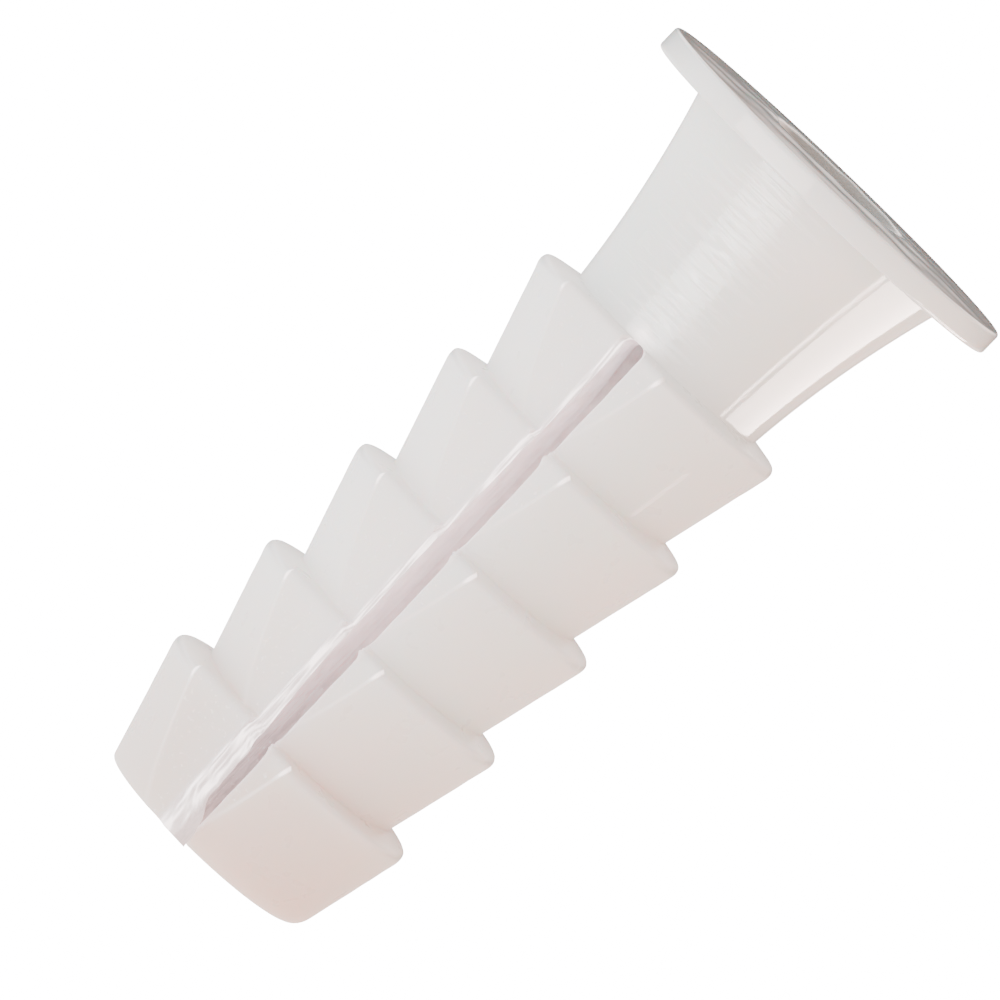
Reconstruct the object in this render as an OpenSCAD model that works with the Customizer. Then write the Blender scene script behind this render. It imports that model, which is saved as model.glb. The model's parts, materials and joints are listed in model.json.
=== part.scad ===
// Slotted nylon wall anchor for a nominal 8 mm hole, 30 mm long overall.
// The wall plane is z = 0: the collar lies above it, the barbed legs below it.
// The slot runs through the axis along Y, so the legs lie at -X and +X.

/* [Overall] */
// Depth of the split tip below the wall plane
body_depth = 29.15; // [28:0.05:34]
// Depth of the slot's root below the wall plane
root_depth = 7.2; // [6:0.05:8]

/* [Collar] */
// Diameter of the collar that rests on the wall
collar_d = 14.5; // [13:0.1:18]
// Thickness of the collar
collar_t = 0.85; // [0.7:0.05:1.5]
// Chamfer on both edges of the collar's rim
rim_chamfer = 0.1; // [0.05:0.05:0.3]

/* [Neck] */
// Diameter of the flared neck where it meets the collar
neck_top_d = 10.7; // [10.5:0.1:12]
// How far the neck's top is let into the collar
neck_seat = 0.3; // [0.1:0.05:0.4]
// Diameter of the neck at the slot's root
neck_root_d = 7.9; // [7.4:0.1:8.2]
// Share of the neck's widening that comes as a curve rather than a straight cone
neck_flare = 0.5; // [0:0.05:1]

/* [Barbs] */
// Diameter across the rounded crests of the barbs
crest_d = 10.3; // [9.2:0.05:10.4]
// Diameter in the grooves between the barbs
groove_d = 8.2; // [8:0.05:8.6]
// Distance from one barb to the next
barb_pitch = 4.35; // [3.8:0.05:4.5]
// How far a barb's ledge falls from the groove out to its crest
ledge_fall = 0.25; // [0:0.05:0.6]
// Radius of the round on each crest
crest_round = 0.35; // [0.1:0.05:0.4]
// Distance between the two flats across the slot's mouths, at the foot of a barb
flats_foot = 8.15; // [7.8:0.05:8.6]
// Distance between the two flats across the slot's mouths, at the top of a barb
flats_top = 9.2; // [8.6:0.05:9.9]
// Turn of the flats from square with the slot, in degrees
flats_turn = 7; // [0:1:12]
// Diameter of the blunt tip
tip_d = 8.2; // [7:0.1:8.4]
// Chamfer round the tip
tip_chamfer = 0.3; // [0.1:0.05:0.5]
// Diameter of the plain core under the barbs
core_d = 7; // [6.4:0.1:7.2]

/* [Slot] */
// Width of the slot at its root
slot_root_w = 0.85; // [0.4:0.05:1]
// Width of the slot at the tip
slot_tip_w = 1.15; // [1:0.05:1.5]
// Slit between the neck and each leg at the living hinge
hinge_slit = 0.15; // [0.15:0.05:0.25]

/* [Screw channel] */
// Diameter of the straight bore through the collar and neck
bore_d = 5; // [4:0.1:5.4]
// Depth of the 45 degree countersink at the bore's mouth
mouth_chamfer = 0.35; // [0.1:0.05:0.5]
// Diameter of the channel at the foot of the funnel
channel_d = 3.2; // [2.4:0.1:3.6]
// Height of the funnel below the slot's root
funnel_h = 3; // [2:0.5:6]
// Diameter of the channel at the tip
channel_tip_d = 2; // [1.2:0.1:2.4]

/* [Hidden] */
$fn = 96;
nylon = [0.86, 0.85, 0.81];
left = -1;
right = 1;
barb_count = 5;
root_z = -root_depth;
tip_z = -body_depth;
leg_top_z = root_z - hinge_slit;
core_r = core_d / 2;
bore_r = bore_d / 2;
collar_r = collar_d / 2;
groove_r = groove_d / 2;
// Larger than any diameter, for the solids that only cut
reach = 2 * collar_d;
arc_steps = 4;
flare_steps = 8;

// Points of a round of radius r on corner b, between the lines from b to a and from b to c
function rounded(a, b, c, r) =
    let (u = (a - b) / norm(a - b),
        v = (c - b) / norm(c - b),
        half = acos(u * v) / 2,
        centre = b + (u + v) / norm(u + v) * r / sin(half),
        first = b + u * r / tan(half) - centre,
        last = b + v * r / tan(half) - centre,
        turn = asin((first.x * last.y - first.y * last.x) / (r * r)))
    [for (i = [0 : arc_steps])
        let (angle = atan2(first.y, first.x) + turn * i / arc_steps)
        centre + r * [cos(angle), sin(angle)]];

// Height of the groove above barb number i, where barb 1 is the nearest to the collar
function groove_z(i) = root_z - (i - 1) * barb_pitch;

// Height of the foot of barb number i: the next groove, or the tip
function foot_z(i) = i < barb_count ? groove_z(i + 1) : tip_z;

// Height of the top of barb number i, with the hinge slit above the first
function top_z(i) = i == 1 ? leg_top_z : groove_z(i);

// Radius of the sharp corner that the crest's round is drawn on
corner_r = crest_d / 2 + crest_round * 0.42;

// Radius of the neck at a share t of its height, from 0 at the slot's root to 1 at the wall
function neck_r(t) = (neck_root_d + (neck_top_d - neck_root_d) * t * (1 - neck_flare * (1 - t))) / 2;

// Section of a plain barb: foot, flank, rounded crest and ledge
function barb_section(foot, top) = concat(
    [[core_r, foot]],
    [[groove_r, foot]],
    rounded([groove_r, foot], [corner_r, top - ledge_fall], [groove_r, top], crest_round),
    [[groove_r, top], [core_r, top]]);

// Section of the last barb, whose foot is the chamfered blunt tip
function nose_section(foot, top) =
    let (tip_r = tip_d / 2)
    concat(
        [[core_r, foot]],
        [[tip_r - tip_chamfer, foot], [tip_r, foot + tip_chamfer]],
        rounded([tip_r, foot + tip_chamfer], [corner_r, top - ledge_fall], [groove_r, top], crest_round),
        [[groove_r, top], [core_r, top]]);

// Everything on one side of the slot, whose walls open from the root to the tip
module slot_side(side) {
    rotate([90, 0, 0])
        linear_extrude(reach, center = true)
            polygon([
                [side * slot_root_w / 2, root_z],
                [side * reach / 2, root_z],
                [side * reach / 2, tip_z],
                [side * slot_tip_w / 2, tip_z]]);
}

// The space between the two flats that face the slot's mouths
module between_flats(foot, top) {
    rotate([90, 0, 90 - flats_turn])
        linear_extrude(reach, center = true)
            polygon([
                [-flats_foot / 2, foot],
                [flats_foot / 2, foot],
                [flats_top / 2, top],
                [-flats_top / 2, top]]);
}

// Flat ring that stops the anchor at the wall, with the screw's mouth in it
module collar() {
    color(nylon)
        rotate_extrude()
            polygon([
                [bore_r, neck_seat],
                [neck_top_d / 2, neck_seat],
                [neck_top_d / 2, 0],
                [collar_r - rim_chamfer, 0],
                [collar_r, rim_chamfer],
                [collar_r, collar_t - rim_chamfer],
                [collar_r - rim_chamfer, collar_t],
                [bore_r + mouth_chamfer, collar_t],
                [bore_r, collar_t - mouth_chamfer]]);
}

// Trumpet-shaped sleeve between the collar and the slot's root
module neck() {
    flare = [for (i = [0 : flare_steps]) [neck_r(i / flare_steps), root_z * (1 - i / flare_steps)]];
    color(nylon)
        rotate_extrude()
            polygon(concat(
                [[bore_r, root_z]],
                flare,
                [[neck_top_d / 2, neck_seat], [bore_r, neck_seat]]));
}

// Half tube that carries one leg's barbs and holds half of the screw channel
module leg(side) {
    color(nylon)
        intersection() {
            rotate_extrude()
                polygon([
                    [bore_r, leg_top_z],
                    [core_r, leg_top_z],
                    [core_r, tip_z],
                    [channel_tip_d / 2, tip_z],
                    [channel_d / 2, leg_top_z - funnel_h]]);
            slot_side(side);
        }
}

// Half ring number i, counted from the collar, on one leg
module barb(side, i) {
    section = i < barb_count ? barb_section(foot_z(i), top_z(i)) : nose_section(foot_z(i), top_z(i));
    color(nylon)
        intersection() {
            rotate_extrude()
                polygon(section);
            slot_side(side);
            between_flats(foot_z(i), top_z(i));
        }
}

collar();
neck();
leg(left);  // left_leg
barb(left, 1);  // left_barb_1
barb(left, 2);  // left_barb_2
barb(left, 3);  // left_barb_3
barb(left, 4);  // left_barb_4
barb(left, 5);  // left_barb_5
leg(right);  // right_leg
barb(right, 1);  // right_barb_1
barb(right, 2);  // right_barb_2
barb(right, 3);  // right_barb_3
barb(right, 4);  // right_barb_4
barb(right, 5);  // right_barb_5
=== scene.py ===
"""Visual model of a slotted nylon wall anchor: its head, and two barbed legs, one with moulding flash.

The screw's axis is Z and the wall plane is z = 0. The slot runs along Y, so the legs lie at -X and +X. The
front, where the camera is, lies at -Y.
"""
import json
import math

import bmesh
import bpy
from mathutils import Matrix, Vector, noise


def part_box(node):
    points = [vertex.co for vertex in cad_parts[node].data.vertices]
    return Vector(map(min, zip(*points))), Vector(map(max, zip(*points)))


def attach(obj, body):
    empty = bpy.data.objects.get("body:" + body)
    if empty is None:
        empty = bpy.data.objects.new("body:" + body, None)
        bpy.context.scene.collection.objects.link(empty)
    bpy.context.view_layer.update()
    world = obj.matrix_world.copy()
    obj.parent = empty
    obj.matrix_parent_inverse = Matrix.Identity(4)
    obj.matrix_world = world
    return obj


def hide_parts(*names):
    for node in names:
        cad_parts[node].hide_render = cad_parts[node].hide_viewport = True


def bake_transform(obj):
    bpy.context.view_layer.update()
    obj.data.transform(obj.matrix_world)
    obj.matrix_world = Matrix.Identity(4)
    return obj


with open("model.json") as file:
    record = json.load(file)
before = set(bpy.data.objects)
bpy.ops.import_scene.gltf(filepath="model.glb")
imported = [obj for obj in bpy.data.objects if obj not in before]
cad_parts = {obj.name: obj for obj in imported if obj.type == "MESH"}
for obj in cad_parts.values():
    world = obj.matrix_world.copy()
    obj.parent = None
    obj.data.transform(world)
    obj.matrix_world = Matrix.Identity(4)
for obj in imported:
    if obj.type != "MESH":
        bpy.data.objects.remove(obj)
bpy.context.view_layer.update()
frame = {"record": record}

MM = 0.001
BARB_COUNT = 5
LEFT, RIGHT = -1, 1
SIDE_NAMES = {LEFT: "left", RIGHT: "right"}
LEG_NAMES = {side: f"{word}_leg" for side, word in SIDE_NAMES.items()}
BARB_NAMES = {side: [f"{word}_barb_{i + 1}" for i in range(BARB_COUNT)]
              for side, word in SIDE_NAMES.items()}

# Sizes read from the frame
COLLAR_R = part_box("collar")[1].x
COLLAR_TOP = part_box("collar")[1].z
NECK_TOP_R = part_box("neck")[1].x
ROOT_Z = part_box("neck")[0].z
TIP_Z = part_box("right_leg")[0].z
BARB_TOPS = [ROOT_Z] + [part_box(name)[0].z for name in BARB_NAMES[RIGHT][:-1]]
BORE_R = next(m for m in frame["record"]["mounts"] if m["name"] == "screw_bore")["dims"]["r_mm"] * MM

# Neck and collar
NECK_ROOT_R = 3.95 * MM
NECK_FLARE = 0.5
FLARE_ROUND = (0.06 * MM, 0.12 * MM)
RIM_ROUND = 0.14 * MM
FACE_CROWN = 0.14 * MM
FACE_WAVE = 0.035 * MM
MOUTH_DEPTH = 0.35 * MM
MOUTH_ROUND = (0.12 * MM, 0.12 * MM)
THROAT_ROUND = (0.1 * MM, 0.1 * MM)
LIP_WAVE = 0.04 * MM
LIP_REACH = 0.5 * MM
RING_WIDTH = 0.3 * MM
HEAD_SEGMENTS = 240
FLARE_STEPS = 90
HEAD_ROUND_STEPS = (4, 6)
HEAD_STEPS = (12, 5, 36, 3, 40, 8)

# Marks on the head: turning marks, strongest in a hatch on the neck's front, and a painted glint above the slot
HATCH_ANGLE = math.radians(-93)
HATCH_SPREAD = 0.4
PAINTED_GLINT_SPOT = Vector((-0.15 * MM, -NECK_ROOT_R, ROOT_Z + 0.3 * MM))
PAINTED_GLINT_SPOT_R = 0.4 * MM

# Barbs: the radii of the sharp corners that the rounds are drawn on
TIP_R = {LEFT: 4.12 * MM, RIGHT: 4.1 * MM}
TIP_ROUND = {LEFT: (0.08 * MM, 0.12 * MM), RIGHT: (0.55 * MM, 0.6 * MM)}
GROOVE_R = 4.1 * MM
CREST_R = {LEFT: 5.35 * MM, RIGHT: 5.13 * MM}
LEDGE_FALL = 0.25 * MM
CREST_ROUND = (0.45 * MM, 0.28 * MM)
GROOVE_ROUND = (0.1 * MM, 0.08 * MM)
MISMATCH = 0.09 * MM
FLAT_FOOT = 4.04 * MM
FLAT_TOP = 4.64 * MM
FLAT_TURN = math.radians(7)
RIDGE_SOFTNESS = 0.035 * MM
RIDGE_CLEARANCE = math.radians(3)
ROUND_STEPS, FLANK_STEPS, LEDGE_STEPS = 8, 16, 6
OUTER_STEPS = (14, 8, 64, 6, 40, 8, 14)
BISECTIONS = 40

# Unevenness of the moulding: how high each kind stands, and how far it reaches
SWELL = 0.008 * MM
CREST_SWELL = 0.02 * MM
PARTING_LINE = 0.05 * MM
PARTING_REACH = 0.035 * MM
LEDGE_REACH = 0.3 * MM
BURR_REACH = 0.07 * MM
CURL = 0.08 * MM
CURL_DEPTH = 0.2 * MM
# A raised mould mark on the right leg's first barb, which also carries a painted glint
MARK_LINE = 0.02 * MM
MARK_REACH = 0.07 * MM
MARK_ANGLE = math.radians(-35.5)
MARK_SPAN = (-11.4 * MM, -9.1 * MM)
BEAD = 0.05 * MM
BEAD_Y = -3.95 * MM
BEAD_REACH = 0.3 * MM

# Slot and screw channel
SLOT_ROOT_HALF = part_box("right_leg")[0].x
SLOT_SLOPE = (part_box("right_barb_5")[0].x - SLOT_ROOT_HALF) / (ROOT_Z - BARB_TOPS[-1])
SLOT_ROOT_ROUND = 0.3 * MM
MOUTH_EDGE = 0.04 * MM
EDGE_RELIEF = 0.25
RELIEF_DEPTH = 0.7 * MM
ROOT_FADE = 0.4 * MM
WALL_ROUGHNESS = (0.02 * MM, 0.012 * MM)
# Painted shade in the slot is full at this depth below the mouth, and grows to full over this distance below
# the root
DEEP = 3.0 * MM
DEEP_BELOW_ROOT = 1.8 * MM
CHANNEL_R = 1.6 * MM
CHANNEL_TIP_R = 1.0 * MM
FUNNEL_H = 3.0 * MM
WALL_STEPS, CHANNEL_STEPS = 24, 106

# Moulding flash: the widths of its lip, web and web's end, and how far up the last two reach; how far the lip
# stands proud, and how much more the web does; the width at which the lip turns into a web, and the growth that
# makes it a full one; and where the painted shade of its free edge starts, and over what width
FLASH_WIDTH = (0.13 * MM, 0.7 * MM, 0.5 * MM)
FLASH_REACH = (6.5 * MM, 1.25 * MM)
FLASH_LIFT = (0.02 * MM, 0.23 * MM)
WEB_FROM, WEB_GROWTH = 0.2 * MM, 0.12 * MM
FLASH_SHADE = (0.74 * MM, 0.06 * MM)
FLASH_THICKNESS = 0.05 * MM
FLASH_POINTS = 12


# ---------------------------------------------------------------- shared helpers


def wobble(point, scale, seed):
    """Smooth noise from -1 to 1 at a point in metres; scale is the size of its features."""
    return noise.noise(Vector(point) / scale + Vector((seed, 2 * seed, 3 * seed)))


def hump(value, peak, width, power=2):
    """A smooth bump: 1 at the peak, falling to nothing a couple of widths away. Power flattens its top."""
    return math.exp(-(((value - peak) / width) ** power))


def clamp(value):
    """A value kept between 0 and 1."""
    return min(1.0, max(0.0, value))


def root_fade(z):
    """A share that falls to nothing at the slot's root, where the legs meet the head."""
    return clamp((ROOT_Z - z) / ROOT_FADE)


def rounded(before, corner, after, cuts, steps):
    """Points that round a corner of a profile, from cuts[0] before it to cuts[1] after it."""
    start = corner + (before - corner).normalized() * cuts[0]
    end = corner + (after - corner).normalized() * cuts[1]
    places = [i / steps for i in range(steps + 1)]
    return [start.lerp(corner, t).lerp(corner.lerp(end, t), t) for t in places]


def straight(start, end, steps):
    """The points between the two ends of a straight stretch, without the ends."""
    return [start.lerp(end, i / steps) for i in range(1, steps)]


def spread(marks, counts):
    """Values from the first mark to the last, with counts[i] steps between marks i and i + 1."""
    values = [marks[0]]
    for low, high, count in zip(marks, marks[1:], counts):
        values += [low + (high - low) * (i + 1) / count for i in range(count)]
    return values


class Surface:
    """A mesh in the making, whose points carry marks from 0 to 1 that the material reads.

    They say how far a point is whitened by wear and painted with glints, matte from the tool, in the slot,
    painted with shade, on the collar's face as grey, marked by a lathe, and smooth, which only the head is.
    """

    MARKS = ("worn", "matte", "slot", "deep", "turned", "smooth")

    def __init__(self):
        self.mesh = bmesh.new()
        self.layers = {name: self.mesh.verts.layers.float.new(name) for name in self.MARKS}

    def point(self, place, **marks):
        """Adds a point and returns it."""
        vertex = self.mesh.verts.new(place)
        for name, value in marks.items():
            vertex[self.layers[name]] = value
        return vertex

    def skin(self, loops, closed=False):
        """Joins each loop of points to the next, and the last to the first if closed."""
        size = len(loops[0])
        pairs = list(zip(loops, loops[1:]))
        if closed:
            pairs.append((loops[-1], loops[0]))
        for lower, upper in pairs:
            for j in range(size):
                after = (j + 1) % size
                self.mesh.faces.new((lower[j], lower[after], upper[after], upper[j]))

    def cap(self, loop):
        """Closes a loop that runs out along one side and back along the other, with a strip of faces."""
        size = len(loop)
        for j in range(size // 2 - 1):
            self.mesh.faces.new((loop[j], loop[j + 1], loop[size - 2 - j], loop[size - 1 - j]))

    def finish(self, name):
        """Turns the surface into a smooth-shaded object whose faces point outwards."""
        bmesh.ops.recalc_face_normals(self.mesh, faces=self.mesh.faces)
        data = bpy.data.meshes.new(name)
        self.mesh.to_mesh(data)
        self.mesh.free()
        data.polygons.foreach_set("use_smooth", [True] * len(data.polygons))
        data.set_sharp_from_angle(angle=math.radians(50))
        thing = bpy.data.objects.new(name, data)
        bpy.context.scene.collection.objects.link(thing)
        return thing


# ---------------------------------------------------------------- head


def neck_radius(height):
    """Outer radius of the trumpet-shaped neck at a height."""
    share = 1 - height / ROOT_Z
    return NECK_ROOT_R + (NECK_TOP_R - NECK_ROOT_R) * share * (1 - NECK_FLARE * (1 - share))


def head_profile():
    """The closed section of the collar and neck, as points of radius and height."""
    heights = [ROOT_Z * (1 - i / FLARE_STEPS) for i in range(FLARE_STEPS)]
    flare = [Vector((neck_radius(height), height)) for height in heights]
    corner = Vector((NECK_TOP_R, 0))
    under = Vector((COLLAR_R, 0))
    rim = Vector((COLLAR_R, COLLAR_TOP))
    mouth = Vector((BORE_R + MOUTH_DEPTH, COLLAR_TOP))
    throat = Vector((BORE_R, COLLAR_TOP - MOUTH_DEPTH))
    foot = Vector((BORE_R, ROOT_Z))
    few, many = HEAD_ROUND_STEPS
    turns = [
        rounded(flare[-1], corner, under, FLARE_ROUND, few),
        rounded(corner, under, rim, (RIM_ROUND, RIM_ROUND), many),
        rounded(under, rim, mouth, (RIM_ROUND, RIM_ROUND), many),
        rounded(rim, mouth, throat, MOUTH_ROUND, many),
        rounded(mouth, throat, foot, THROAT_ROUND, many),
        [foot],
    ]
    profile = list(flare)
    for turn, following, steps in zip(turns, turns[1:] + [flare], HEAD_STEPS):
        profile += turn + straight(turn[-1], following[0], steps)
    return profile


def face_rise(flat, radius):
    """How far the collar's face stands above its plane: its crown, its waves and the mouth's uneven lip."""
    lip = hump(radius, BORE_R + MOUTH_DEPTH, LIP_REACH)
    waves = FACE_WAVE * wobble(flat, 1.3 * MM, 4.0) + LIP_WAVE * lip * wobble(flat, 0.9 * MM, 2.0)
    out = radius / (COLLAR_R - RIM_ROUND)
    return waves * (1 - out ** 6) + FACE_CROWN * (1 - out ** 2)


def face_painted_shade(flat, radius):
    """How much painted shade greys the collar's face, standing in for its dark reflection: a little uneven, and
    darkest in a ring by the rim.
    """
    ring = hump(radius, COLLAR_R - RING_WIDTH, RING_WIDTH)
    return 0.36 + 0.12 * wobble(flat, 2.5 * MM, 6.0) + 0.25 * ring


def lathe_share(angle):
    """How strong the neck's turning marks are at an angle: strongest in the hatch, faint at the right."""
    from_hatch = math.remainder(angle - HATCH_ANGLE, 2 * math.pi)
    return 0.35 * min(1.0, 1.3 - 1.3 * math.cos(angle)) + 0.65 * hump(from_hatch, 0, HATCH_SPREAD)


def head_point(surface, radius, height, angle):
    """A point of the head, with the slight waviness of a moulding and its marks."""
    around = Vector((math.cos(angle), math.sin(angle), 0))
    flat = around * radius + Vector((0, 0, height))
    in_bore = radius < BORE_R + 0.9 * MOUTH_DEPTH
    on_face = height > COLLAR_TOP - MOUTH_DEPTH / 2
    on_neck = height < -0.3 * MM and radius > BORE_R + 0.5 * MM
    at_foot = height < ROOT_Z + 0.01 * MM

    place = flat + around * (0.0 if at_foot else SWELL * wobble(flat, 2.5 * MM, 1.0))
    if on_face and radius < COLLAR_R - RIM_ROUND:
        place += Vector((0, 0, face_rise(flat, radius)))

    # Painted shade in the bore, and on the collar's face a painted grey for its dark reflection
    deep = float(in_bore)
    if on_face and not in_bore and radius < COLLAR_R - RIM_ROUND / 2:
        deep = face_painted_shade(flat, radius)
    turned = lathe_share(angle) if on_neck else 0.0
    # A painted glint above the slot
    worn = 0.75 * hump((place - PAINTED_GLINT_SPOT).length, 0, PAINTED_GLINT_SPOT_R)
    return surface.point(place, turned=turned, smooth=1.0, deep=deep, worn=worn)


def head():
    """The collar and the flared neck, one turned form with the screw bore through it."""
    surface = Surface()
    profile = head_profile()
    angles = [2 * math.pi * k / HEAD_SEGMENTS for k in range(HEAD_SEGMENTS)]
    surface.skin([[head_point(surface, p.x, p.y, angle) for p in profile] for angle in angles], closed=True)
    return surface.finish("head")


# ---------------------------------------------------------------- legs


def leg_profile(foot, groove, crest, fall, tip_round, shift):
    """Stations up a leg from the tip to the slot's root, as points of radius and height."""
    corners, cuts = [Vector((0, TIP_Z)), Vector((foot, TIP_Z))], [tip_round]
    for top in reversed(BARB_TOPS):
        level = top + (shift if top != ROOT_Z else 0.0)
        corners += [Vector((crest, level - fall)), Vector((groove, level))]
        cuts += [CREST_ROUND, GROOVE_ROUND]
    corners[-1] = Vector((NECK_ROOT_R, ROOT_Z))
    curves = [rounded(*corners[i:i + 3], cut, ROUND_STEPS) for i, cut in enumerate(cuts[:-1])]
    curves.append([corners[-1]])
    stations = list(curves[0])
    for i, (curve, following) in enumerate(zip(curves, curves[1:])):
        steps = LEDGE_STEPS if i % 2 else FLANK_STEPS
        stations += straight(curve[-1], following[0], steps) + following
    return stations


def slot_half(z):
    """Half the slot's width at a height, with round corners at its root."""
    depth = ROOT_Z - z
    half = SLOT_ROOT_HALF + SLOT_SLOPE * depth
    if depth < SLOT_ROOT_ROUND:
        rest = SLOT_ROOT_ROUND - depth
        half -= SLOT_ROOT_ROUND - math.sqrt(SLOT_ROOT_ROUND ** 2 - rest ** 2)
    return half


def channel_radius(z):
    """Radius of the screw channel at a height: a funnel, then a slow taper to the tip."""
    funnel_foot = ROOT_Z - FUNNEL_H
    if z > funnel_foot:
        share = (ROOT_Z - z) / FUNNEL_H
        return BORE_R + (CHANNEL_R - BORE_R) * share * share * (3 - 2 * share)
    share = (funnel_foot - z) / (funnel_foot - TIP_Z)
    return CHANNEL_R + (CHANNEL_TIP_R - CHANNEL_R) * share


class Leg:
    """The outer surface, slot walls and channel of one leg, worked out station by station."""

    def __init__(self, side):
        self.side = side
        self.surface = Surface()
        shift = -side * MISMATCH
        crest = CREST_R[side]
        flat_fall = LEDGE_FALL * (FLAT_TOP - GROOVE_R) / (crest - GROOVE_R)
        self.rounds = leg_profile(TIP_R[side], GROOVE_R, crest, LEDGE_FALL, TIP_ROUND[side], shift)
        self.flats = leg_profile(FLAT_FOOT, FLAT_FOOT, FLAT_TOP, flat_fall, TIP_ROUND[side], shift)
        self.ledges = [top + shift - LEDGE_FALL for top in BARB_TOPS]
        self.flat_normal = math.pi / 2 - side * FLAT_TURN

    def shape(self, station, angle):
        """Radius, height and flat share of the outer surface, for an angle from the leg's middle."""
        around, flat = self.rounds[station], self.flats[station]
        flat_reach = flat.x / max(abs(math.cos(angle - self.flat_normal)), 0.05)
        share = clamp(0.5 + 0.5 * (flat_reach - around.x) / RIDGE_SOFTNESS)
        radius = flat_reach + (around.x - flat_reach) * share - RIDGE_SOFTNESS * share * (1 - share)
        return radius, flat.y + (around.y - flat.y) * share, share

    def relief(self, station):
        """How far the right leg's slot edge is cut back where the flats stand proud."""
        return EDGE_RELIEF * max(0.0, self.flats[station].x - FLAT_FOOT) if self.side == RIGHT else 0.0

    def mouth_angle(self, station, end):
        """The angle at which the outer surface reaches the slot's rounded edge, at end -1 or 1."""
        wall = slot_half(self.rounds[station].y) + MOUTH_EDGE + self.relief(station)
        low, high = 0.0, math.pi / 2
        for _ in range(BISECTIONS):
            angle = (low + high) / 2
            outside = self.shape(station, end * angle)[0] * math.cos(angle) > wall
            low, high = (angle, high) if outside else (low, angle)
        return end * low

    def ridge_angle(self, station, end, mouth):
        """The angle of the ridge between the flat and the round flank, kept clear of the slot's edge."""
        around, flat = self.rounds[station], self.flats[station]
        tilt = math.acos(min(flat.x / around.x, 1.0))
        normal = self.flat_normal if end > 0 else self.flat_normal - math.pi
        return end * min(abs(normal - end * tilt), abs(mouth) - RIDGE_CLEARANCE)

    def outer_chain(self, station):
        """Points of the outer surface from the front mouth to the back one."""
        front, back = self.mouth_angle(station, -1), self.mouth_angle(station, 1)
        soft, seam = math.radians(1.0), math.radians(0.9)
        low, high = self.ridge_angle(station, -1, front), self.ridge_angle(station, 1, back)
        marks = (front, low - soft, low + soft, -seam, seam, high - soft, high + soft, back)
        chain = []
        for angle in spread(marks, OUTER_STEPS):
            chain.append(self.outer_point(station, angle, min(angle - front, back - angle)))
        return chain

    def outer_point(self, station, angle, from_mouth):
        """A point of the outer surface, with its waviness, parting line, burr along the slot, and wear with
        painted glints.
        """
        radius, height, share = self.shape(station, angle)
        outward = Vector((self.side * math.cos(angle), math.sin(angle), 0))
        place = outward * radius + Vector((0, 0, height))
        crest = max(0.0, (radius - GROOVE_R) / (CREST_R[self.side] - GROOVE_R))
        near_ledge = max(hump(height, ledge, LEDGE_REACH) for ledge in self.ledges)
        lip = hump(from_mouth * radius, 0, BURR_REACH)
        burr = near_ledge * max(0.0, wobble(place, 0.2 * MM, 9.0) + 0.2)
        line = self.mould_mark_and_painted_glint(radius, height, angle)

        swell = SWELL * wobble(place, 1.8 * MM, 3.0 + self.side)
        swell += CREST_SWELL * crest * wobble(place, 0.5 * MM, 5.0 + self.side)
        parting = PARTING_LINE * hump(angle * radius, 0, PARTING_REACH)
        swell += parting * max(0.0, wobble(place, 0.35 * MM, 7.0) + 0.25) * (0.3 + 0.7 * crest)
        swell += MM * lip * (0.025 + 0.012 * wobble(place, 0.8 * MM, 11.0) + 0.12 * burr)
        swell += MARK_LINE * line

        # Whitening with painted glints along the ridges, ledges, burr and mould mark
        ridge = 4 * share * (1 - share) * min(1.0, 0.35 + crest)
        worn = ridge * (0.45 + near_ledge) + 0.5 * lip * (0.5 + burr)
        worn += 0.35 * near_ledge * crest + 0.8 * line
        fade = root_fade(height)
        place += outward * (swell * fade) + self.curl(place, lip) * fade
        return self.surface.point(place, worn=min(1.0, worn) * fade, matte=1 - share)

    def mould_mark_and_painted_glint(self, radius, height, angle):
        """How much of the raised mould mark on the right leg's first barb is at a point; it also paints a glint
        there.
        """
        if self.side == LEFT or not MARK_SPAN[0] < height < MARK_SPAN[1]:
            return 0.0
        return hump((angle - MARK_ANGLE) * radius, 0, MARK_REACH)

    def curl(self, place, share):
        """How far the right leg's front edge curls into the slot beside a ledge, times a point's share."""
        if place.y > 0 or self.side == LEFT:
            return Vector()
        near_ledge = max(hump(place.z, ledge + 0.1 * MM, 0.25 * MM) for ledge in self.ledges[1:])
        size = CURL * near_ledge * (1 + 1.2 * wobble(place, 0.2 * MM, 21.0))
        return Vector((-self.side * size * share, -0.4 * size * share, 0))

    def inner_chain(self, station, first, last):
        """Points of the slot's walls and the channel, from the front mouth to the back one."""
        z = self.rounds[station].y
        channel = channel_radius(z)
        entry = math.acos(min(0.98, slot_half(z) / channel))
        entry_y = channel * math.sin(entry)
        front_y, back_y = first.co.y + MOUTH_EDGE, last.co.y - MOUTH_EDGE
        front_wall = self.wall(station, spread((front_y, -entry_y), (WALL_STEPS,))[:-1], front_y)
        channel_wall = []
        for angle in spread((-entry, entry), (CHANNEL_STEPS,)):
            place = Vector((self.side * channel * math.cos(angle), channel * math.sin(angle), z))
            channel_wall.append(self.surface.point(place, slot=1.0, matte=1.0, deep=1.0))
        back_wall = self.wall(station, spread((entry_y, back_y), (WALL_STEPS,))[1:], back_y)
        return front_wall + channel_wall + back_wall

    def wall(self, station, places, mouth):
        """Points across a slot wall, painted with shade that darkens with depth below its mouth, and cut back
        and curled near it.
        """
        z = self.rounds[station].y
        below_root = min(1.0, 0.1 + (ROOT_Z - z) / DEEP_BELOW_ROOT)
        points = []
        for y in places:
            point = self.wall_point(slot_half(z), y, z)
            depth = abs(y - mouth)
            # Painted shade, darker with depth below the mouth and weaker near the root
            point[self.surface.layers["deep"]] = min(1.0, depth / DEEP) * below_root
            point.co += self.curl(point.co, hump(depth, 0, CURL_DEPTH)) * root_fade(z)
            point.co.x += self.side * self.relief(station) * max(0.0, 1 - depth / RELIEF_DEPTH)
            points.append(point)
        return points

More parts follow.
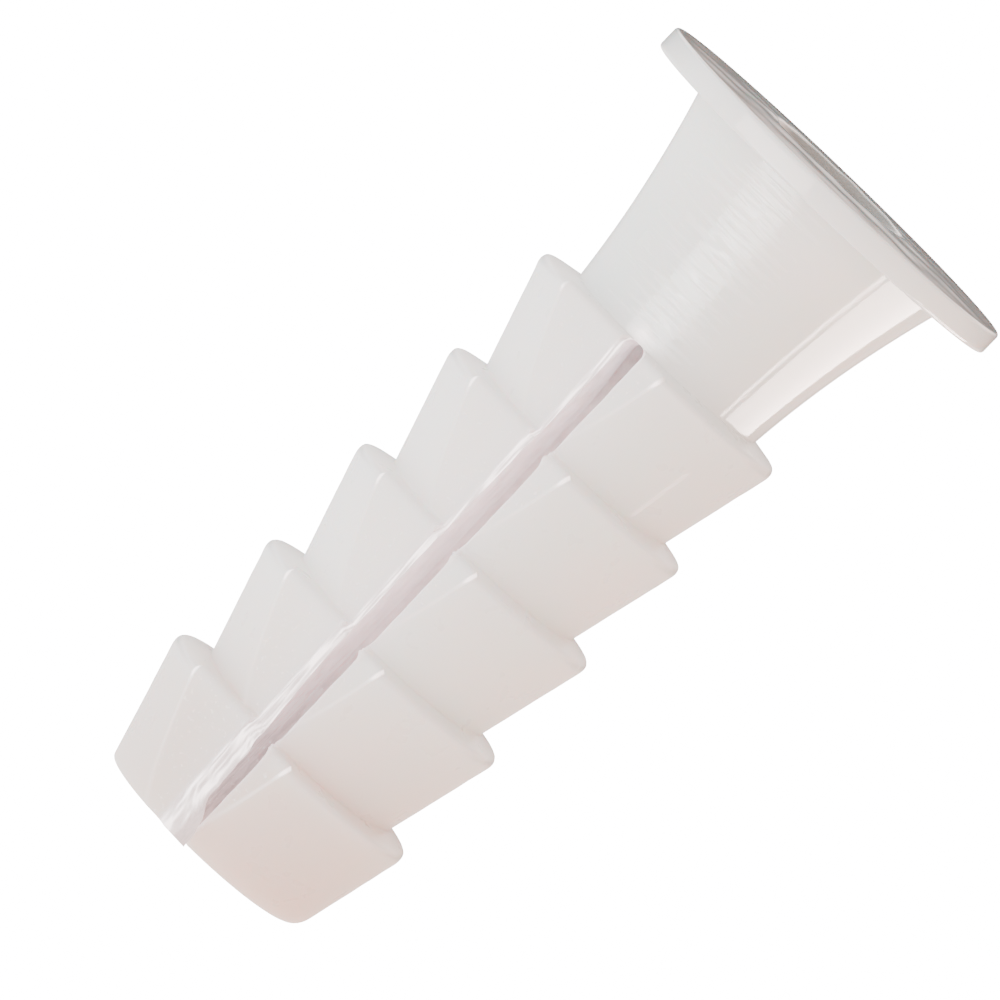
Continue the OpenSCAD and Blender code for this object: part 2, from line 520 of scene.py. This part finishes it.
    def wall_point(self, half, y, z):
        """A point of a slot wall, rough with marks that run up the slot. The left leg has a bead, pale with a
        painted glint.
        """
        fade = root_fade(z)
        rough = WALL_ROUGHNESS[0] * wobble((half, y, z * 0.12), 0.2 * MM, 13.0 + self.side)
        rough += WALL_ROUGHNESS[1] * wobble((half, y, z), 0.4 * MM, 17.0)
        bead = 0.0
        if self.side == LEFT:
            bead = hump(y, BEAD_Y, BEAD_REACH) * (1 + 0.4 * wobble((0, y, z), 0.3 * MM, 27.0))
        place = Vector((self.side * (half + (rough - BEAD * bead) * fade), y, z))
        return self.surface.point(place, slot=1.0, matte=1.0, worn=0.72 * bead * fade)

    def flash(self, station, mouth):
        """The moulding flash on the left leg's front edge: a narrow lip, and a torn web near the tip.

        Returns the points of its outer side, from its free edge to the leg, and those of its inner side,
        from the leg to its free edge. The web stands proud, to slide over the right leg as the slot closes.
        """
        if self.side == RIGHT:
            return [], []
        z = self.rounds[station].y
        above_tip = z - TIP_Z
        lip, web, end = FLASH_WIDTH
        width = lip + web * hump(above_tip, 0, FLASH_REACH[0]) + end * hump(above_tip, 0, FLASH_REACH[1], 4)
        lift = FLASH_LIFT[0] + FLASH_LIFT[1] * clamp((width - WEB_FROM) / WEB_GROWTH)
        width += EDGE_RELIEF * max(0.0, -mouth - FLAT_FOOT)
        clear_of_tip = (-mouth - 0.92 * FLAT_FOOT) / (0.05 * FLAT_FOOT)
        ends = clamp(clear_of_tip) * root_fade(z)
        width *= max(0.02, ends) * (1 + 0.15 * wobble((0, 0, z), 0.6 * MM, 23.0))
        outer, inner = [], []
        for i in range(FLASH_POINTS):
            share = (i + 1) / FLASH_POINTS
            across = width * share
            x = -slot_half(z) + across
            streak = wobble((x, 0, z * 0.06), 0.07 * MM, 25.0)
            raised = lift * min(1.0, 4 * share) + across * math.tan(FLAT_TURN) + 0.02 * MM * streak
            y = mouth - raised * max(0.05, ends)
            # Painted shadow along the web's free edge, and painted glints in its bright streaks
            shade = clamp((across - FLASH_SHADE[0]) / FLASH_SHADE[1])
            bright = clamp(0.7 + 2.0 * streak) * (1 - shade)
            dark = max(shade, 0.6 * (1 - bright))
            outer.append(self.surface.point(Vector((x, y, z)), worn=bright, slot=0.6, deep=dark))
            inner.append(self.surface.point(Vector((x, y + FLASH_THICKNESS, z)), slot=1.0, matte=1.0))
        return outer[::-1], inner

    def build(self):
        """The leg as one closed mesh: a loop of points at each station, capped at the tip and the root."""
        loops = []
        for station in range(len(self.rounds)):
            outer = self.outer_chain(station)
            inner = self.inner_chain(station, outer[0], outer[-1])
            flash_outer, flash_inner = self.flash(station, outer[0].co.y)
            loops.append(flash_outer + outer + inner[::-1] + flash_inner)
        self.surface.skin(loops)
        self.surface.cap(loops[0])
        self.surface.cap(loops[-1])
        return self.surface.finish(LEG_NAMES[self.side] + "_moulding")


# ---------------------------------------------------------------- materials


# Tones of the nylon, among them painted light, shade and glints, and the lengths over which its looks change
CREAM, COOL = (0.86, 0.85, 0.835, 1), (0.80, 0.855, 0.84, 1)
# Painted light on the left leg, from the key light at the left
LEFT_LEG_PAINTED_LIGHT = (0.93, 0.915, 0.90, 1)
# Painted warm shade near the right leg's tip
RIGHT_TIP_PAINTED_SHADE = (0.745, 0.625, 0.57, 1)
WALL_TONES = (0.84, 0.75, 0.76, 1), (1.0, 0.94, 0.96, 1)
# Painted shade in the slot, the channel and the flash's free edge: away from the tip, and darker near it
PAINTED_RECESS_SHADES = (0.86, 0.80, 0.80, 1), (0.44, 0.35, 0.35, 1)
# Painted shade of the bore, and painted dark reflection of the collar's face
HEAD_PAINTED_SHADE = (0.30, 0.30, 0.285, 1)
# Whitened edges, with painted glints
WEAR_AND_PAINTED_GLINT_TONE = (0.98, 0.95, 0.93, 1)
MATTE_ROUGHNESS = (0.6, 0.6, 0.6, 1)
# Tint of the painted glow on the slot's walls and the whitened edges
PAINTED_GLOW_TINT = (1.0, 0.84, 0.85, 1)
TIP_REACH = 9.0 * MM
MIDLINE = (-1.0 * MM, 1.0 * MM)
SEAM_REACH = 0.8 * MM
BUMP = 0.03 * MM
SURROUND_GLOW = 16.0


def feed(tree, socket, value):
    """Gives a socket a value, or links another node's output to it."""
    if isinstance(value, bpy.types.NodeSocket):
        tree.links.new(value, socket)
    else:
        socket.default_value = value


def add(tree, kind, settings=None, **sockets):
    """A shader node with its settings; each socket takes a value or another node's output."""
    node = tree.nodes.new(kind)
    for key, value in (settings or {}).items():
        setattr(node, key, value)
    for key, value in sockets.items():
        feed(tree, node.inputs[key.replace("_", " ")], value)
    return node


def mark(tree, name):
    """The output that reads one of the surface's marks."""
    return add(tree, "ShaderNodeAttribute", {"attribute_name": name}).outputs["Fac"]


def mix(tree, share, first, second):
    """A colour between two others."""
    node = add(tree, "ShaderNodeMix", {"data_type": "RGBA"})
    for number, value in ((0, share), (6, first), (7, second)):
        feed(tree, node.inputs[number], value)
    return node.outputs[2]


def ramp(tree, value, low, high, start=0.0, end=1.0):
    """A value that runs from low to high as another runs from start to end."""
    return add(tree, "ShaderNodeMapRange", Value=value, From_Min=start, From_Max=end, To_Min=low,
               To_Max=high).outputs["Result"]


def maths(tree, operation, first, second=0.0):
    """The result of an operation on two values."""
    node = add(tree, "ShaderNodeMath", {"operation": operation})
    for socket, value in zip(node.inputs, (first, second)):
        feed(tree, socket, value)
    return node.outputs[0]


def times(tree, first, second):
    """The product of two values."""
    return maths(tree, "MULTIPLY", first, second)


def grain(tree, place, scale, detail, stretch=None):
    """Noise about 0.5, with a scale in features to the metre, which stretch multiplies along each axis."""
    if stretch:
        place = add(tree, "ShaderNodeMapping", Vector=place, Scale=stretch).outputs["Vector"]
    return add(tree, "ShaderNodeTexNoise", Vector=place, Scale=scale, Detail=detail).outputs["Fac"]


def body_colour(tree, place, across, near_tip, smooth):
    """Cream with cooler clouds, with painted light that makes the left leg paler and painted warm shade near
    the right leg's tip.
    """
    clouds = ramp(tree, grain(tree, place, 300.0, 3.0), -0.7, 1.7)
    on_leg = times(tree, ramp(tree, smooth, 1.0, 0.0), ramp(tree, near_tip, 1.0, 0.0))
    # Painted light on the left leg
    painted_light_on_left = times(tree, on_leg, ramp(tree, across, 1.0, 0.0, *MIDLINE))
    # Painted warm shade near the right leg's tip
    painted_shade_on_right_tip = times(tree, near_tip, ramp(tree, across, 0.7, 1.0, *MIDLINE))
    milky = mix(tree, painted_light_on_left, mix(tree, clouds, CREAM, COOL), LEFT_LEG_PAINTED_LIGHT)
    return mix(tree, painted_shade_on_right_tip, milky, RIGHT_TIP_PAINTED_SHADE)


def roughness(tree, place, lathe, marks):
    """Satin legs, a polished head with turning marks, and matte tooled faces."""
    smear = grain(tree, place, 900.0, 3.0)
    scratched = times(tree, marks["turned"], ramp(tree, lathe, 0.0, 0.5, 0.5, 0.58))
    polished = maths(tree, "ADD", ramp(tree, smear, 0.04, 0.1), scratched)
    satin = mix(tree, marks["smooth"], ramp(tree, smear, 0.2, 0.4), polished)
    return mix(tree, marks["matte"], satin, MATTE_ROUGHNESS)


def fine_relief(tree, place, lathe, marks):
    """The normal with the neck's turning marks and the grain of the moulding, coarser where it is matte."""
    turning = add(tree, "ShaderNodeBump", Height=lathe, Distance=BUMP,
                  Strength=ramp(tree, marks["turned"], 0.0, 0.9))
    grained = add(tree, "ShaderNodeBump", Height=grain(tree, place, 4500.0, 2.0), Distance=BUMP,
                  Strength=ramp(tree, marks["matte"], 0.06, 0.4), Normal=turning.outputs["Normal"])
    return grained.outputs["Normal"]


def milkiness(tree, height, marks):
    """How much light goes under the skin: less where it is whitened or painted with shade, none where leg and
    head meet.
    """
    from_seam = maths(tree, "ABSOLUTE", maths(tree, "SUBTRACT", height, ROOT_Z))
    off_seam = ramp(tree, from_seam, 0.0, 1.0, 0.0, SEAM_REACH)
    clear = times(tree, ramp(tree, marks["worn"], 0.85, 0.1), off_seam)
    return times(tree, clear, ramp(tree, marks["deep"], 1.0, 0.5))


def painted_glow(tree, pale, streaks, marks):
    """Painted glow on the slot's walls and the thin whitened edges, standing in for light that comes through
    the nylon.
    """
    walls = times(tree, ramp(tree, marks["deep"], 0.42, 0.28), ramp(tree, streaks, 0.6, 1.5))
    edges = times(tree, maths(tree, "POWER", pale, 3.0), 2.0)
    return maths(tree, "ADD", times(tree, marks["slot"], walls), edges)


def nylon():
    """Natural milky nylon: satin, translucent, matte on the tooled faces and whitened along its edges, with
    painted light, shade, glints and glow.
    """
    material = bpy.data.materials.new("nylon")
    material.use_nodes = True
    tree = material.node_tree
    place = add(tree, "ShaderNodeTexCoord").outputs["Object"]
    axes = add(tree, "ShaderNodeSeparateXYZ", Vector=place).outputs
    marks = {name: mark(tree, name) for name in Surface.MARKS}

    lathe = grain(tree, place, 520.0, 2.0, (1.0, 1.0, 12.0))
    streaks = ramp(tree, grain(tree, place, 5000.0, 2.0, (1.0, 1.0, 0.3)), 0.0, 1.0, 0.38, 0.62)
    specks = ramp(tree, grain(tree, place, 6000.0, 1.0), 0.0, 0.42, 0.6, 0.75)
    near_tip = ramp(tree, axes["Z"], 1.0, 0.0, TIP_Z, TIP_Z + TIP_REACH)
    # Whitening with painted glints, and pale specks on the matte faces
    pale = maths(tree, "MAXIMUM", marks["worn"], times(tree, marks["matte"], specks))

    body = body_colour(tree, place, axes["X"], near_tip, marks["smooth"])
    walls = mix(tree, marks["slot"], body, mix(tree, streaks, *WALL_TONES))
    # Painted shade in the legs' recesses, and in the head's bore and on its face
    painted_recess_shade = mix(tree, marks["smooth"], mix(tree, near_tip, *PAINTED_RECESS_SHADES), HEAD_PAINTED_SHADE)
    inputs = {
        "Base Color": mix(tree, pale, mix(tree, marks["deep"], walls, painted_recess_shade), WEAR_AND_PAINTED_GLINT_TONE),
        "Roughness": roughness(tree, place, lathe, marks),
        "Normal": fine_relief(tree, place, lathe, marks),
        "Subsurface Weight": milkiness(tree, axes["Z"], marks),
        "Subsurface Radius": (1.0, 0.62, 0.5),
        "Subsurface Scale": 2.5 * MM,
        "Emission Strength": painted_glow(tree, pale, streaks, marks),
        "Emission Color": PAINTED_GLOW_TINT,
        "IOR": 1.53,
    }
    shader = tree.nodes["Principled BSDF"]
    for name, value in inputs.items():
        feed(tree, shader.inputs[name], value)
    return material


def surround_material():
    """The plain white of the studio's floor and dome."""
    material = bpy.data.materials.new("surround")
    material.use_nodes = True
    shader = material.node_tree.nodes["Principled BSDF"]
    shader.inputs["Base Color"].default_value = (0.9, 0.9, 0.9, 1)
    shader.inputs["Roughness"].default_value = 0.9
    shader.inputs["Emission Color"].default_value = (1, 1, 1, 1)
    shader.inputs["Emission Strength"].default_value = SURROUND_GLOW
    return material


# ---------------------------------------------------------------- studio

LENGTH = COLLAR_TOP - TIP_Z
MIDDLE = Vector((0, 0, (TIP_Z + COLLAR_TOP) / 2))
CAMERA_AZIMUTH, CAMERA_ELEVATION = 14.5, 5.5
CAMERA_DISTANCE = 11.3 * LENGTH
CAMERA_LEAN = math.radians(46.2)
VIEW_WIDTH = LENGTH / 0.9195
VIEW_SHIFT = (-0.0203 * VIEW_WIDTH, 0.0122 * VIEW_WIDTH)
CARD_DISTANCE = 0.45
FLOOR_Z = TIP_Z - 0.5 * MM
FLOOR_SIZE = 4
DOME_R = 1.2

# Colours of the light
WHITE, WARM = (1, 1, 1), (1.0, 0.82, 0.76)
TENT_LEFT, TENT_RIGHT = (1.0, 1.0, 1.0, 1), (0.71, 0.455, 0.355, 1)
TENT_TOP, TENT_BEHIND = (0.15, 0.15, 0.15, 1), (0.03, 0.03, 0.03, 1)


def direction(azimuth, elevation):
    """Out from the anchor, in degrees; azimuth 0 is towards -Y and 90 towards +X."""
    a, e = math.radians(azimuth), math.radians(elevation)
    return Vector((math.sin(a) * math.cos(e), -math.cos(a) * math.cos(e), math.sin(e)))


def camera():
    """A long lens a little above the anchor, rolled so that the collar points up and to the right."""
    data = bpy.data.cameras.new("camera")
    data.sensor_width = 36.0
    data.lens = data.sensor_width * CAMERA_DISTANCE / VIEW_WIDTH
    data.clip_start, data.clip_end = 0.01, 100
    cam = bpy.data.objects.new("camera", data)
    bpy.context.scene.collection.objects.link(cam)
    back = direction(CAMERA_AZIMUTH, CAMERA_ELEVATION)
    side = Vector((0, 0, 1)).cross(back).normalized()
    upright = back.cross(side)
    right = side * math.sin(CAMERA_LEAN) + upright * math.cos(CAMERA_LEAN)
    up = upright * math.sin(CAMERA_LEAN) - side * math.cos(CAMERA_LEAN)
    cam.location = MIDDLE + right * VIEW_SHIFT[0] + up * VIEW_SHIFT[1] + back * CAMERA_DISTANCE
    cam.rotation_mode = "QUATERNION"
    cam.rotation_quaternion = Matrix((right, up, back)).transposed().to_quaternion()
    bpy.context.scene.camera = cam


def card(name, azimuths, elevations, glow, pieces, tint=WHITE):
    """A light card that shows only in reflections on some pieces, between two azimuths and elevations.

    Angles are in degrees, and azimuths are counted from the camera's side towards the right. Glow is the
    card's brightness. The pieces' collection stands for the flags that keep the card off the others.
    """
    turn, tilt = sum(azimuths) / 2, sum(elevations) / 2
    width, height = (2 * CARD_DISTANCE * math.tan(math.radians(b - a) / 2)
                     for a, b in (azimuths, elevations))
    data = bpy.data.lights.new(name, "AREA")
    data.shape = "RECTANGLE"
    data.size, data.size_y = width, height
    data.energy = glow * math.pi * width * height
    data.color = tint
    light = bpy.data.objects.new(name, data)
    bpy.context.scene.collection.objects.link(light)
    light.location = MIDDLE + direction(CAMERA_AZIMUTH + turn, tilt) * CARD_DISTANCE
    light.rotation_mode = "QUATERNION"
    light.rotation_quaternion = (MIDDLE - light.location).to_track_quat("-Z", "Y")
    light.visible_diffuse = False
    light.visible_transmission = False
    light.light_linking.receiver_collection = pieces


def group(name, *pieces):
    """A collection for a light that reaches only these pieces."""
    lit = bpy.data.collections.new(name)
    for piece in pieces:
        lit.objects.link(piece)
    return lit


def white_surround():
    """The floor and a dome round it. Only the camera sees them, so they don't light the anchor."""
    bpy.ops.mesh.primitive_plane_add(size=FLOOR_SIZE, location=(0, 0, FLOOR_Z))
    floor = bpy.context.object
    bpy.ops.mesh.primitive_uv_sphere_add(segments=64, ring_count=32, radius=DOME_R, location=MIDDLE)
    dome = bpy.context.object
    white = surround_material()
    for name, thing in (("floor", floor), ("dome", dome)):
        thing.name = name
        thing.data.materials.append(white)
        thing.visible_diffuse = thing.visible_glossy = thing.visible_transmission = False
        thing.visible_shadow = False
        thing.light_linking.receiver_collection = group("lit_by_" + name, thing)


def tent():
    """A tent of light: white at the left, warm at the right, dimmer below, dark overhead and low behind."""
    world = bpy.data.worlds.new("tent")
    world.use_nodes = True
    tree = world.node_tree
    where = add(tree, "ShaderNodeTexCoord").outputs["Generated"]
    turned = add(tree, "ShaderNodeMapping", Vector=where, Rotation=(0, 0, -math.radians(CAMERA_AZIMUTH)))
    axes = add(tree, "ShaderNodeSeparateXYZ", Vector=turned.outputs["Vector"]).outputs
    sides = mix(tree, ramp(tree, axes["X"], 0.0, 1.0, -1.0), TENT_LEFT, TENT_RIGHT)
    overhead = mix(tree, ramp(tree, axes["Z"], 0.0, 1.0, 0.35, 0.65), sides, TENT_TOP)
    over_floor = ramp(tree, axes["Z"], 0.0, 1.0, -0.15, -0.05)
    band = times(tree, over_floor, ramp(tree, axes["Z"], 1.0, 0.0, 0.08, 0.3))
    behind = times(tree, ramp(tree, axes["Y"], 0.0, 1.0, 0.2, 0.6), band)
    background = tree.nodes["Background"]
    feed(tree, background.inputs["Color"], mix(tree, behind, overhead, TENT_BEHIND))
    feed(tree, background.inputs["Strength"], ramp(tree, axes["Z"], 3.2, 4.6, -0.1, 0.05))
    bpy.context.scene.world = world


def studio(polished):
    """Floor, dome and tent, and the light cards that show on the polished piece."""
    white_surround()
    tent()
    lit = group("lit_head", polished)
    for reach in (20, 15, 10, 5):
        card("key_card", (-30 - reach, -30 + reach), (-34, -8), 13, lit)
        card("rim_card", (-34 - 1.3 * reach, -34 + 1.3 * reach), (-7, 2), 9, lit, WARM)
    card("window_card", (88, 134), (-36, -8), 32, lit, WARM)
    card("thin_card", (79, 82), (-36, -8), 42, lit, WARM)


# ---------------------------------------------------------------- assembly

milky_nylon = nylon()
head_piece = head()
head_piece.data.materials.append(milky_nylon)
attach(head_piece, "root")
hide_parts("collar", "neck")

for side in (LEFT, RIGHT):
    leg = Leg(side).build()
    leg.data.materials.append(milky_nylon)
    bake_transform(leg)
    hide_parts(LEG_NAMES[side], *BARB_NAMES[side])

studio(head_piece)
camera()
